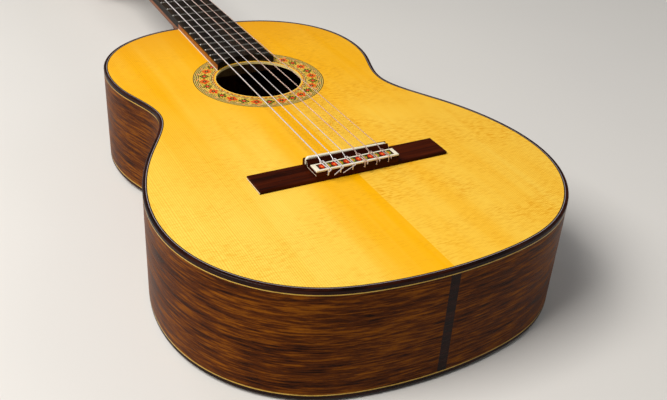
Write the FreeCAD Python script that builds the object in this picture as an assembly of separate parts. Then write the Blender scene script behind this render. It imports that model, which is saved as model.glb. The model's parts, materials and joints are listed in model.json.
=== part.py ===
"""Classical guitar lying on its back, an assembly of wooden, bone, metal and nylon pieces.

Millimetres. The instrument is modelled with its soundboard in the plane z = 0 and the twelfth
fret on y = 0: +Y runs towards the head, +X towards the treble side and +Z out of the soundboard.
On export every shape is moved so that the origin is under the middle of the instrument, on the
surface that its arched back rests on.
"""

import FreeCAD
import Part
import math
import os

V = FreeCAD.Vector
X_AXIS, Y_AXIS, Z_AXIS = V(1, 0, 0), V(0, 1, 0), V(0, 0, 1)
BIG = 400.0

# Scale and body
SCALE = 650.0
BODY_TOP_Y = 2.5
BODY_TAIL_Y = -485.8
# Outer edge of the treble half, from the neck to the tail.
HALF_OUTLINE = [
    (33.5, 1.6),
    (69.7, -6.9),
    (103.4, -28.5),
    (125.9, -61.7),
    (133.1, -99.0),
    (128.4, -136.0),
    (119.0, -164.6),
    (114.8, -189.6),
    (123.2, -218.0),
    (143.8, -254.8),
    (163.4, -302.0),
    (171.0, -352.5),
    (163.6, -397.2),
    (138.6, -439.5),
    (100.2, -468.4),
    (50.0, -482.2),
]
OFFSET_SAMPLES = 44
TOP_THICKNESS = 2.5
BACK_THICKNESS = 2.5
RIB_THICKNESS = 2.2
PURFLING_INNER = 3.8
BINDING_HEIGHT = 3.5
BINDING_ROUND = 0.9
TOP_LINE_HEIGHT = 0.8
BACK_LINE_HEIGHT = 1.0
LINING_INNER = 7.2
LINING_HEIGHT = 13.5
BACK_STRIP_HALF = 3.0
GRAFT_HALF = 4.0

# The back is part of a large sphere, lowest under the lower bout.
BACK_RADIUS = 7000.0
BACK_LOW_Y = -317.2
BODY_DEPTH = 99.3
BELOW_BODY = -BODY_DEPTH - 20.0

# Soundhole and rosette
HOLE_Y = -149.2
HOLE_RADIUS = 41.1
ROSETTE_INNER = 43.0
ROSETTE_OUTER = 62.8
ROSETTE_DEPTH = 1.2

# Bracing and blocks
BAR_WIDTH = 6.0
BAR_HEIGHT = 15.0
HARMONIC_BAR_Y = (HOLE_Y + 55.0, HOLE_Y - 55.0)
FAN_COUNT = 7
FAN_SPACING_FRONT = 14.0
FAN_SPACING_TAIL = 37.0
FAN_Y = (-216.0, -436.0)
FAN_TAIL_GAP = 2.0
FAN_SHORTER_BY = 17.0
FAN_SIZE = 4.0
CLOSING_STRUT = [(8.0, -448.0), (118.0, -386.0)]
BACK_BAR_Y = (-85.0, -235.0, -365.0)
TAIL_BLOCK_HALF = 34.0
TAIL_BLOCK_Y = -467.0
FOOT_HALF = 30.0
FOOT_Y = -28.0
TOE_Y = -58.0
TOE_HEIGHT = 14.0

# Neck, in its own slightly raised frame
NECK_TILT = 0.42
NUT_WIDTH = 48.5
JOINT_WIDTH = 56.5
# Depth of the shaft at distances in front of the body joint.
SHAFT_STATIONS = [(-1.0, 16.5), (150.0, 15.6), (300.0, 14.8)]
SHAFT_ROUNDNESS = 2.35
NUT_SECTION = (15.4, 2.6)
HEAD_ROOT_U = 14.0
HEAD_ROOT_ROUNDNESS = 5.0
HEEL_SLOT_HALF = 12.0
# Height, width and length of the heel's half-ellipse sections, from the shaft down to the cap.
HEEL_SECTIONS = [
    (-9.0, 54.0, 78.0),
    (-20.0, 48.0, 50.0),
    (-36.0, 39.0, 34.0),
    (-60.0, 31.0, 27.0),
    (-88.6, 27.0, 25.0),
]
HEEL_CAP_THICKNESS = 3.0
BOARD_THICKNESS = 7.5
BOARD_END_RADIUS = 43.0
FRET_COUNT = 19
FRET_WIDTH = 2.2
FRET_HEIGHT = 1.0
FRET_END_INSET = 0.5
FRET_BEVEL = 0.7
TANG_WIDTH = 0.6
TANG_DEPTH = 1.8
NUT_LENGTH = 5.0
NUT_CREST = 9.6
NUT_FLAT = 1.5
NUT_FALL = 2.2

# Head
HEAD_ANGLE = 15.0
HEAD_HALF = 31.5
HEAD_THICKNESS = 20.0
HEAD_LENGTH = 183.0
HEAD_ROOT_HALF = 24.55
# Edge of the head's treble half: the shoulder, the crest and the point.
HEAD_SHOULDER = [(HEAD_ROOT_HALF, 4.0), (25.75, 14.0), (30.3, 25.0), (HEAD_HALF, 34.0)]
HEAD_CREST = [(HEAD_HALF, 156.0), (28.0, 168.0), (19.0, 172.0), (9.5, 177.0)]
HEAD_POINT = [(9.5, 177.0), (4.5, 181.7), (0.0, HEAD_LENGTH)]
VENEER = 2.0
SLOT_INNER = 7.0
SLOT_OUTER = 22.5
SLOT_START = 42.0
SLOT_END = 146.0
RAMP_START = 27.0
RAMP_DEPTH = 11.0

# Tuning machines
ROLLER_U = (58.0, 93.0, 128.0)
ROLLER_W = -9.5
ROLLER_RADIUS = 5.0
ROLLER_CLEARANCE = 0.3
ROLLER_INNER_X = 2.7
BORE_INNER_X = 2.0
PLATE_THICKNESS = 1.2
PLATE_U = (37.0, 142.5)
PLATE_HALF_WIDTH = 7.5
PLATE_CORNER = 4.0
SHAFT_RADIUS = 2.5
GEAR_SEAT_RADIUS = 2.0
RUNNING = 0.05
GEAR_TEETH = 14
WORM_PITCH = 2.8
GEAR_PITCH_RADIUS = GEAR_TEETH * WORM_PITCH / (2 * math.pi)
GEAR_OUTER = 7.0
GEAR_ROOT = 5.2
GEAR_THICKNESS = 3.0
GEAR_X = 36.7
WORM_PITCH_RADIUS = 2.9
WORM_OUTER = 3.6
WORM_ROOT = 1.9
WORM_HALF_LENGTH = 4.5
WORM_TURNS = 2.5
WORM_SHAFT_RADIUS = 1.25
FLANK = math.tan(math.radians(20.0))
THREAD_HALF = 0.55
TOOTH_GAP_HALF = 0.9
LUG_THICKNESS = 1.7
LUG_HALF = 3.1
LUG_GAP = 0.15
BUTTON_TOP_W = -21.5
BUTTON_SIZE = (9.0, 15.0, 18.0)
BUTTON_DROP = 1.5
BUTTON_BORE = 9.0
COLLAR = (2.4, 3.3, 4.0)
THREAD_SUNK = 0.3
SHAFT_TOP = 0.6
PLATE_SCREW_U = (41.0, 72.0, 107.0, 138.5)
SCREW_SHANK = 1.2
SCREW_HEAD = 3.1
SCREW_HEAD_SUNK = 1.9
SCREW_LENGTH = 6.5
SCREW_SLOT = 0.6
GEAR_SCREW_HEAD = 2.7
GEAR_SCREW_SHANK = 0.8
GEAR_SCREW_HEAD_HEIGHT = 1.3
GEAR_SCREW_LENGTH = 3.5

# Bridge
BRIDGE_HALF = 85.4
BRIDGE_FRONT_Y = -320.2
BRIDGE_BACK_Y = -345.9
WING_HEIGHT = 3.2
WING_CHAMFER = 0.7
BLOCK_HALF = 37.5
# The saddle block's back slopes from its top down to the height of the cheeks.
SADDLE_BLOCK_FRONT_Y = -321.2
SADDLE_BLOCK_TOP_Y = -328.0
SADDLE_BLOCK_BACK_Y = -330.1
SADDLE_BLOCK_HEIGHT = 10.6
SADDLE_BLOCK_ROUND = 2.8
CHEEK_WIDTH = 1.5
CHEEK_HEIGHT = 6.2
TIE_FRONT_Y = -334.9
TIE_BACK_Y = BRIDGE_BACK_Y
TIE_HEIGHT = 8.9
TIE_FRAME_HEIGHT = 1.3
TIE_FRAME_EDGE = 1.6
TIE_FRAME_END = 3.5
TIE_FRAME_ROUND = 0.5
MOSAIC_RECESS = 0.1
SADDLE_Y = -325.6
SADDLE_THICKNESS = 2.6
SADDLE_SEAT = 6.2
# Height of the saddle's crest at its bass end and its treble end.
SADDLE_TOPS = (12.7, 11.1)
SADDLE_CORNER = 3.2
SADDLE_CREST = 1.2
TIE_HOLE_Z = 5.0
TIE_HOLE_RADIUS = 0.95

# Strings: name, diameter, roller row, distance of the winding from the centre line
STRINGS = [
    ("string_6_low_e", 1.09, 0, -19.4),
    ("string_5_a", 0.89, 1, -14.0),
    ("string_4_d", 0.74, 2, -10.6),
    ("string_3_g", 1.02, 2, 10.6),
    ("string_2_b", 0.82, 1, 14.0),
    ("string_1_high_e", 0.71, 0, 19.4),
]
# Where each string's free end lies, from where it leaves the back of the tie block.
TAILS = [
    (-3.2, -1.6, -0.6),
    (-9.8, -3.7, -2.7),
    (-12.6, -3.4, -2.8),
    (-1.4, -1.6, -0.8),
    (-1.0, -1.4, -0.8),
    (-0.9, -1.2, -0.6),
]
# How far a tied string's loop stands off the block in front, behind and beside the string,
# and how far its own rising part stands off the loop.
TIE_CLEAR_FRONT = 0.4
TIE_CLEAR_BACK = 0.4
TIE_ASIDE = 1.0
TIE_CLEAR_LOOP = 0.1
KNOT_DROP = 0.5
KNOT_BEND = 1.0
TIE_BEND = 1.0
BACK_BEND = 0.9
CREST_BEND = 3.0
TURNS_GAP = 0.1
SADDLE_SPREAD = 54.9
NUT_SPREAD = 41.5
WINDING_TURNS = 3
WINDING_GAP = 0.04
STRING_CLEARANCE = 0.02
SADDLE_LIFT = 0.05

os.makedirs("parts", exist_ok=True)


# Frames ------------------------------------------------------------------------


def in_neck(shape):
    """Moves a shape from the neck's frame, whose top is flat, to the instrument's."""
    moved = shape.copy()
    moved.rotate(V(0, 0, 0), X_AXIS, NECK_TILT)
    return moved


def in_head(shape):
    """Moves a shape from the head's frame (x, u along the head, w out of its face) to the instrument's."""
    moved = shape.copy()
    moved.rotate(V(0, 0, 0), X_AXIS, -HEAD_ANGLE)
    moved.translate(V(0, SCALE / 2 + NUT_LENGTH, VENEER))
    return in_neck(moved)


def into_head(point):
    """A point of the neck's frame, in the head's."""
    place = FreeCAD.Placement(V(0, 0, 0), FreeCAD.Rotation(X_AXIS, HEAD_ANGLE))
    return place.multVec(point - V(0, SCALE / 2 + NUT_LENGTH, VENEER))


def head_point(x, u, w):
    return in_head(Part.Vertex(V(x, u, w))).Point


def origin_shift():
    """Puts the origin under the middle of the instrument's length, at its lowest point."""
    tip_y = head_point(0, HEAD_LENGTH, 0).y
    return V(0, -(tip_y + BODY_TAIL_Y) / 2, BODY_DEPTH)


def save(name, *shapes):
    solids = [solid for shape in shapes for solid in shape.Solids]
    whole = solids[0] if len(solids) == 1 else Part.makeCompound(solids)
    moved = whole.copy()
    moved.translate(origin_shift())
    if not moved.isValid():
        print("invalid shape in", name)
    moved.exportStep(f"parts/{name}.step")
    print(f"{name:24s} {len(solids):3d} solids {moved.Volume / 1000:9.2f} cm3")


# Small helpers -----------------------------------------------------------------


def box(x0, x1, y0, y1, z0, z1):
    return Part.makeBox(x1 - x0, y1 - y0, z1 - z0, V(x0, y0, z0))


def cylinder(radius, start, end):
    return Part.makeCylinder(radius, (end - start).Length, start, end - start)


def polygon_prism(points, direction):
    return Part.Face(Part.makePolygon(points + points[:1])).extrude(direction)


def mirrored(shape):
    return shape.mirror(V(0, 0, 0), X_AXIS)


def outermost(shape):
    """The long edges that run round the outside of a ring."""
    edges = [edge for edge in shape.Edges if edge.Length > BIG / 2]
    reach = [max(abs(edge.optimalBoundingBox().XMin), edge.optimalBoundingBox().XMax) for edge in edges]
    return [edge for edge, x in zip(edges, reach) if x > max(reach) - 1.0]


def edges_at(shape, y=None, z=None):
    """The edges whose middle lies at the given y, the given z, or both."""
    found = shape.Edges
    if y is not None:
        found = [edge for edge in found if abs(edge.CenterOfMass.y - y) < 0.01]
    if z is not None:
        found = [edge for edge in found if abs(edge.CenterOfMass.z - z) < 0.01]
    return found


def spline_edge(points):
    curve = Part.BSplineCurve()
    curve.interpolate(points)
    return curve.toShape()


# Body outline ------------------------------------------------------------------


def master_outline():
    treble = [V(x, y, 0) for x, y in HALF_OUTLINE]
    bass = [V(-x, y, 0) for x, y in reversed(HALF_OUTLINE)]
    points = [V(0, BODY_TOP_Y, 0), *treble, V(0, BODY_TAIL_Y, 0), *bass]
    curve = Part.BSplineCurve()
    curve.interpolate(Points=points, PeriodicFlag=True)
    return curve


def outline_wire(inset, z):
    """The body's outline moved inwards by inset, as two half curves at height z."""
    curve = MASTER
    if inset > 0:
        length = curve.length()
        points = []
        for i in range(OFFSET_SAMPLES):
            t = curve.parameterAtDistance(length * i / OFFSET_SAMPLES)
            along = curve.tangent(t)[0]
            points.append(curve.value(t) + V(along.y, -along.x, 0) * inset)
        curve = Part.BSplineCurve()
        curve.interpolate(Points=points, PeriodicFlag=True)
    first, last = curve.FirstParameter, curve.LastParameter
    middle = (first + last) / 2
    wire = Part.Wire([curve.toShape(first, middle), curve.toShape(middle, last)])
    wire.translate(V(0, 0, z))
    return wire


MASTER = master_outline()


def body_prism(inset, z0, z1):
    return Part.Face(outline_wire(inset, z0)).extrude(V(0, 0, z1 - z0))


def body_ring(outer, inner, z0, z1):
    """The band between two insets of the outline."""
    wires = [outline_wire(outer, z0), outline_wire(inner, z0)]
    return Part.makeFace(wires, "Part::FaceMakerBullseye").extrude(V(0, 0, z1 - z0))


def inside_dome(inset):
    """Everything above the back's surface moved inwards by inset."""
    centre = V(0, BACK_LOW_Y, BACK_RADIUS - BODY_DEPTH)
    return Part.makeSphere(BACK_RADIUS - inset, centre)


def on_back(shape, inset_low, inset_high):
    """The part of a shape between two depths measured up from the back's outer surface."""
    return shape.common(inside_dome(inset_low)).cut(inside_dome(inset_high))


# Body --------------------------------------------------------------------------


def make_soundboard():
    centre = V(0, HOLE_Y, 0)
    board = body_prism(PURFLING_INNER, -TOP_THICKNESS, 0)
    board = board.cut(Part.makeCylinder(HOLE_RADIUS, BIG, centre - Z_AXIS * BIG / 2))
    channel = Part.makeCylinder(ROSETTE_OUTER, ROSETTE_DEPTH, centre - Z_AXIS * ROSETTE_DEPTH)
    core = Part.makeCylinder(ROSETTE_INNER, ROSETTE_DEPTH, centre - Z_AXIS * ROSETTE_DEPTH)
    rosette = channel.cut(core)
    board = board.cut(rosette)
    save("soundboard_bass_half", board.common(box(-BIG, 0, -BIG * 2, BIG, -BIG, BIG)))
    save("soundboard_treble_half", board.common(box(0, BIG, -BIG * 2, BIG, -BIG, BIG)))
    save("rosette", rosette)


def make_edges():
    save("top_purfling", body_ring(RIB_THICKNESS, PURFLING_INNER, -TOP_THICKNESS, 0))
    binding = body_ring(0, RIB_THICKNESS, -BINDING_HEIGHT, 0)
    rim = [edge for edge in outermost(binding) if edge.CenterOfMass.z > -BINDING_HEIGHT / 2]
    save("top_binding", binding.makeFillet(BINDING_ROUND, rim))
    top_line = body_ring(0, RIB_THICKNESS, -BINDING_HEIGHT - TOP_LINE_HEIGHT, -BINDING_HEIGHT)
    low_band = body_ring(0, RIB_THICKNESS, BELOW_BODY, -BODY_DEPTH / 2)
    low_binding = on_back(low_band, 0, BINDING_HEIGHT)
    outer_edges = outermost(low_binding)
    middle_z = sum(edge.CenterOfMass.z for edge in outer_edges) / len(outer_edges)
    rim = [edge for edge in outer_edges if edge.CenterOfMass.z < middle_z]
    save("back_binding", low_binding.makeFillet(BINDING_ROUND, rim))
    back_line = on_back(low_band, BINDING_HEIGHT, BINDING_HEIGHT + BACK_LINE_HEIGHT)
    save("side_purflings", top_line, back_line)


def make_ribs():
    rib_top = -BINDING_HEIGHT - TOP_LINE_HEIGHT
    band = body_ring(0, RIB_THICKNESS, BELOW_BODY, rib_top)
    band = band.common(inside_dome(BINDING_HEIGHT + BACK_LINE_HEIGHT))
    graft_zone = box(-GRAFT_HALF, GRAFT_HALF, BODY_TAIL_Y - 20, BODY_TAIL_Y + 20, -BIG, BIG)
    heel_zone = box(-HEEL_SLOT_HALF, HEEL_SLOT_HALF, -20, 20, -BIG, BIG)
    sides = band.cut(graft_zone).cut(heel_zone)
    save("end_graft", band.common(graft_zone))
    save("rib_bass", sides.common(box(-BIG, 0, -BIG * 2, BIG, -BIG, BIG)))
    save("rib_treble", sides.common(box(0, BIG, -BIG * 2, BIG, -BIG, BIG)))


def make_back():
    plate = on_back(body_prism(RIB_THICKNESS, BELOW_BODY, -BODY_DEPTH / 2), 0, BACK_THICKNESS)
    strip = BACK_STRIP_HALF
    save("back_bass_half", plate.common(box(-BIG, -strip, -BIG * 2, BIG, -BIG, BIG)))
    save("back_treble_half", plate.common(box(strip, BIG, -BIG * 2, BIG, -BIG, BIG)))
    save("back_centre_strip", plate.common(box(-strip, strip, -BIG * 2, BIG, -BIG, BIG)))


def block_space():
    """The inside of the body, between the soundboard and the back."""
    space = body_prism(RIB_THICKNESS, BELOW_BODY, -TOP_THICKNESS)
    return space.common(inside_dome(BACK_THICKNESS))


def make_blocks_and_linings():
    tail_zone = box(-TAIL_BLOCK_HALF, TAIL_BLOCK_HALF, BODY_TAIL_Y - 20, TAIL_BLOCK_Y, -BIG, BIG)
    foot_zone = box(-FOOT_HALF, FOOT_HALF, FOOT_Y, BIG, -BIG, BIG)
    save("tail_block", SPACE.common(tail_zone))
    top_lining = body_ring(RIB_THICKNESS, LINING_INNER, -TOP_THICKNESS - LINING_HEIGHT, -TOP_THICKNESS)
    low_band = body_ring(RIB_THICKNESS, LINING_INNER, BELOW_BODY, -BODY_DEPTH / 2)
    back_lining = on_back(low_band, BACK_THICKNESS, BACK_THICKNESS + LINING_HEIGHT)
    zones = tail_zone.fuse(foot_zone)
    save("linings", top_lining.cut(zones), back_lining.cut(zones))


def make_top_braces():
    """Two harmonic bars, seven fan struts and the pair of closing struts behind them."""
    inside = body_prism(LINING_INNER, -BODY_DEPTH, -TOP_THICKNESS)
    braces = []
    bar_low = -TOP_THICKNESS - BAR_HEIGHT
    for y in HARMONIC_BAR_Y:
        bar = box(-BIG, BIG, y - BAR_WIDTH / 2, y + BAR_WIDTH / 2, bar_low, -TOP_THICKNESS)
        braces.append(bar.common(inside))
    front_y, tail_y = FAN_Y
    for i in range(FAN_COUNT):
        step = i - (FAN_COUNT - 1) / 2
        shorter = abs(step) * FAN_SHORTER_BY + FAN_TAIL_GAP
        start = V(step * FAN_SPACING_FRONT, front_y, -TOP_THICKNESS)
        end = V(step * FAN_SPACING_TAIL, tail_y + shorter, -TOP_THICKNESS)
        braces.append(strut(start, end, FAN_SIZE, FAN_SIZE))
    for side in (-1, 1):
        start, end = [V(side * x, y, -TOP_THICKNESS) for x, y in CLOSING_STRUT]
        braces.append(strut(start, end, FAN_SIZE, FAN_SIZE))
    save("top_braces", *braces)


def strut(start, end, width, height):
    """A bar glued under the soundboard from start to end."""
    across = (end - start).cross(Z_AXIS).normalize() * (width / 2)
    corners = [start + across, end + across, end - across, start - across]
    return polygon_prism(corners, V(0, 0, -height))


def make_back_braces():
    inside = body_prism(LINING_INNER, BELOW_BODY, -BODY_DEPTH / 2)
    bars = []
    half = BAR_WIDTH / 2
    for y in BACK_BAR_Y:
        bar = box(-BIG, BIG, y - half, y + half, BELOW_BODY, -BODY_DEPTH / 2)
        bars.append(on_back(bar.common(inside), BACK_THICKNESS, BACK_THICKNESS + BAR_HEIGHT))
    save("back_braces", *bars)


# Neck --------------------------------------------------------------------------


def neck_section(width, depth, roundness):
    """A closed section in the x-z plane, flat on top: a superellipse with the given exponent below."""
    points = []
    steps = 10
    for i in range(steps + 1):
        angle = math.pi * i / steps
        c, s = math.cos(angle), math.sin(angle)
        x = width / 2 * math.copysign(abs(c) ** (2 / roundness), c)
        points.append(V(x, 0, -depth * max(s, 0) ** (2 / roundness)))
    return Part.Wire([spline_edge(points), Part.makeLine(points[-1], points[0])])


def board_width(y):
    """Width of the fingerboard and neck at a distance y in front of the body joint."""
    return JOINT_WIDTH + (NUT_WIDTH - JOINT_WIDTH) * y / (SCALE / 2)


def moved(shape, vector):
    copy = shape.copy()
    copy.translate(vector)
    return copy


def make_shaft():
    """The playable part of the neck, and the thicker stretch that runs into the head."""
    sections = []
    for y, depth in SHAFT_STATIONS:
        section = neck_section(board_width(y), depth, SHAFT_ROUNDNESS)
        sections.append(in_neck(moved(section, V(0, y, 0))))
    shaft = Part.makeLoft(sections, True, False)
    nut_base = in_neck(moved(neck_section(NUT_WIDTH, *NUT_SECTION), V(0, SCALE / 2, 0)))
    root = neck_section(NUT_WIDTH + 1.0, HEAD_THICKNESS - VENEER, HEAD_ROOT_ROUNDNESS)
    head_root = in_head(moved(root, V(0, HEAD_ROOT_U, -VENEER)))
    return shaft.fuse(Part.makeLoft([sections[-1], nut_base, head_root], True, False))


def half_ellipse(z, width, length):
    """Closed wire: the front half of an ellipse centred on the joint, and the chord across it."""
    if length > width / 2:
        ellipse = Part.Ellipse(V(0, 0, z), length, width / 2)
        ellipse.rotate(FreeCAD.Placement(V(0, 0, 0), FreeCAD.Rotation(Z_AXIS, 90)))
        edge = Part.Arc(ellipse, -math.pi / 2, math.pi / 2).toShape()
    else:
        edge = Part.Arc(Part.Ellipse(V(0, 0, z), width / 2, length), 0, math.pi).toShape()
    return Part.Wire([edge, Part.makeLine(edge.lastVertex().Point, edge.firstVertex().Point)])


def make_heel():
    """Rounded heel, widest under the fingerboard and narrowest at the cap."""
    heel = Part.makeLoft([half_ellipse(*section) for section in HEEL_SECTIONS], True, False)
    return heel.cut(body_prism(0, -BIG, 5))


def make_heel_cap():
    """Flat cap that covers the heel's end, level with the edge of the back."""
    z, width, length = HEEL_SECTIONS[-1]
    face = Part.Face(half_ellipse(z - HEEL_CAP_THICKNESS, width, length))
    cap = face.extrude(V(0, 0, HEEL_CAP_THICKNESS))
    save("heel_cap", cap.cut(body_prism(0, -BIG, 5)))


def make_foot():
    """The neck's end inside the body: a block between the ribs, with a toe along the back."""
    block = SPACE.common(box(-FOOT_HALF, FOOT_HALF, FOOT_Y, 20, -BIG, BIG))
    toe = box(-FOOT_HALF, FOOT_HALF, TOE_Y, FOOT_Y, -BIG, -BODY_DEPTH / 2)
    toe = on_back(toe, BACK_THICKNESS, BACK_THICKNESS + TOE_HEIGHT)
    tongue = box(-HEEL_SLOT_HALF, HEEL_SLOT_HALF, -5, 5, -BIG, -BINDING_HEIGHT - TOP_LINE_HEIGHT)
    tongue = tongue.common(body_prism(0, -BIG, 5)).common(inside_dome(BINDING_HEIGHT + BACK_LINE_HEIGHT))
    return block.fuse(toe).fuse(tongue)


def head_outline(z0, z1):
    """The head's plan: narrow at the nut, parallel sides for the machines, and a low rounded crest."""
    shoulder, crest, point = [
        [V(x, u, z0) for x, u in stretch] for stretch in (HEAD_SHOULDER, HEAD_CREST, HEAD_POINT)
    ]
    corner = V(HEAD_ROOT_HALF, 0, z0)
    edges = [
        Part.makeLine(corner, shoulder[0]),
        spline_edge(shoulder),
        Part.makeLine(shoulder[-1], crest[0]),
        spline_edge(crest),
        spline_edge(point),
    ]
    edges += [mirrored(edge) for edge in edges]
    edges.append(Part.makeLine(V(-HEAD_ROOT_HALF, 0, z0), corner))
    wire = Part.Wire(Part.__sortEdges__(edges))
    return Part.Face(wire).extrude(V(0, 0, z1 - z0))


def head_slots():
    """Both string slots with their round ends and the ramps that let the strings down into them."""
    radius = (SLOT_OUTER - SLOT_INNER) / 2
    middle = (SLOT_OUTER + SLOT_INNER) / 2
    slot = box(SLOT_INNER, SLOT_OUTER, SLOT_START + radius, SLOT_END - radius, -BIG, BIG)
    for u in (SLOT_START + radius, SLOT_END - radius):
        slot = slot.fuse(Part.makeCylinder(radius, 2 * BIG, V(middle, u, -BIG)))
    ramp = polygon_prism(
        [
            V(SLOT_INNER, RAMP_START, 1),
            V(SLOT_INNER, RAMP_START, 0),
            V(SLOT_INNER, SLOT_START + radius, -RAMP_DEPTH),
            V(SLOT_INNER, SLOT_START + radius, 1),
        ],
        V(SLOT_OUTER - SLOT_INNER, 0, 0),
    )
    slot = slot.fuse(ramp)
    return slot.fuse(mirrored(slot))


def head_bores():
    """Blind bores for the rollers and pilot holes for the plate screws."""
    cuts = []
    outside = HEAD_HALF + 3.0
    for side in (-1, 1):
        for u in ROLLER_U:
            start, end = V(side * BORE_INNER_X, u, ROLLER_W), V(side * outside, u, ROLLER_W)
            cuts.append(cylinder(ROLLER_RADIUS + ROLLER_CLEARANCE, start, end))
        for u in PLATE_SCREW_U:
            start, end = V(side * (HEAD_HALF - 7.0), u, ROLLER_W), V(side * outside, u, ROLLER_W)
            cuts.append(cylinder(SCREW_SHANK, start, end))
    return Part.makeCompound(cuts)


def make_neck():
    head = in_head(head_outline(-HEAD_THICKNESS, -VENEER))
    above_head = in_head(box(-BIG, BIG, 0, BIG, -VENEER, BIG))
    under_board = in_neck(box(-BIG, BIG, BODY_TOP_Y, SCALE / 2 + NUT_LENGTH, 0, BIG))
    neck = make_shaft().cut(body_prism(0, -BIG, BIG)).fuse(make_heel()).fuse(make_foot())
    neck = neck.fuse(head).cut(above_head).cut(under_board)
    neck = neck.cut(in_head(head_slots())).cut(in_head(head_bores()))
    save("neck", neck.removeSplitter())
    veneer = in_head(head_outline(-VENEER, 0).cut(head_slots()))
    behind_nut = in_neck(box(-BIG, BIG, -BIG, SCALE / 2 + NUT_LENGTH, -BIG, BIG))
    save("head_veneer", veneer.cut(behind_nut))


# Fingerboard -------------------------------------------------------------------


def fret_y(number):
    return SCALE * 2 ** (-number / 12) - SCALE / 2


def board_end():
    return Part.makeCylinder(BOARD_END_RADIUS, BIG, V(0, HOLE_Y, -BIG / 2))


def make_fingerboard():
    far_y = HOLE_Y + 5
    half_far, half_near = board_width(far_y) / 2, board_width(SCALE / 2) / 2
    corners = [
        V(-half_far, far_y, -5),
        V(half_far, far_y, -5),
        V(half_near, SCALE / 2, -5),
        V(-half_near, SCALE / 2, -5),
    ]
    board = polygon_prism(corners, V(0, 0, BOARD_THICKNESS + 5))
    neck_top = box(-BIG, BIG, BODY_TOP_Y, BIG, -BIG, 0)
    slots = []
    for n in range(1, FRET_COUNT + 1):
        y0, y1 = fret_y(n) - TANG_WIDTH / 2, fret_y(n) + TANG_WIDTH / 2
        slots.append(box(-BIG, BIG, y0, y1, BOARD_THICKNESS - TANG_DEPTH, BIG))
    board = in_neck(board.cut(neck_top).cut(Part.makeCompound(slots)))
    board = board.cut(board_end())
    over_body = box(-BIG, BIG, -BIG, BODY_TOP_Y + 0.1, -BIG, 0)
    save("fingerboard", board.cut(over_body))


def fret_wire(y):
    """One fret: a rounded crown with bevelled ends on a straight tang."""
    half = board_width(y) / 2
    z = BOARD_THICKNESS
    front, back = V(-half, y + FRET_WIDTH / 2, z), V(-half, y - FRET_WIDTH / 2, z)
    arc = Part.Arc(back, V(-half, y, z + FRET_HEIGHT), front).toShape()
    crown = Part.Face(Part.Wire([arc, Part.makeLine(front, back)])).extrude(V(2 * half, 0, 0))
    for side in (-1, 1):
        foot, top = half - FRET_END_INSET / 2, half - FRET_END_INSET - FRET_BEVEL
        corners = [
            V(side * foot, y - 5, z),
            V(side * (half + 1), y - 5, z),
            V(side * (half + 1), y - 5, z + FRET_HEIGHT),
            V(side * top, y - 5, z + FRET_HEIGHT),
        ]
        crown = crown.cut(polygon_prism(corners, V(0, 10, 0)))
    reach = half - FRET_END_INSET
    tang = box(-reach, reach, y - TANG_WIDTH / 2, y + TANG_WIDTH / 2, z - TANG_DEPTH, z)
    return crown.fuse(tang)


def make_frets():
    frets = [in_neck(fret_wire(fret_y(n))) for n in range(1, FRET_COUNT + 1)]
    frets[-1] = frets[-1].cut(board_end())
    save("frets", *frets)


def nut_x(index):
    return (index - 2.5) / 5 * NUT_SPREAD


def saddle_x(index):
    return (index - 2.5) / 5 * SADDLE_SPREAD


def make_nut():
    """The nut: a narrow flat crest with a string slot for each string, falling towards the head."""
    front_y, half = SCALE / 2, NUT_WIDTH / 2
    profile = [
        V(-half, front_y, 0),
        V(-half, front_y + NUT_LENGTH, 0),
        V(-half, front_y + NUT_LENGTH, NUT_CREST - NUT_FALL),
        V(-half, front_y + NUT_FLAT, NUT_CREST),
        V(-half, front_y, NUT_CREST),
    ]
    nut = polygon_prism(profile, V(NUT_WIDTH, 0, 0))
    past_end = 1.0
    fall_past_end = NUT_FALL * (1.0 + past_end / (NUT_LENGTH - NUT_FLAT))
    for index, (_, diameter, _, _) in enumerate(STRINGS):
        radius = diameter / 2 + STRING_CLEARANCE
        start = V(nut_x(index), front_y - past_end, NUT_CREST)
        middle = V(nut_x(index), front_y + NUT_FLAT, NUT_CREST)
        end = V(nut_x(index), front_y + NUT_LENGTH + past_end, NUT_CREST - fall_past_end)
        nut = nut.cut(cylinder(radius, start, middle)).cut(cylinder(radius, middle, end))
        nut = nut.cut(Part.makeSphere(radius, middle))
    save("nut", in_neck(nut))


# Bridge ------------------------------------------------------------------------


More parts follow.
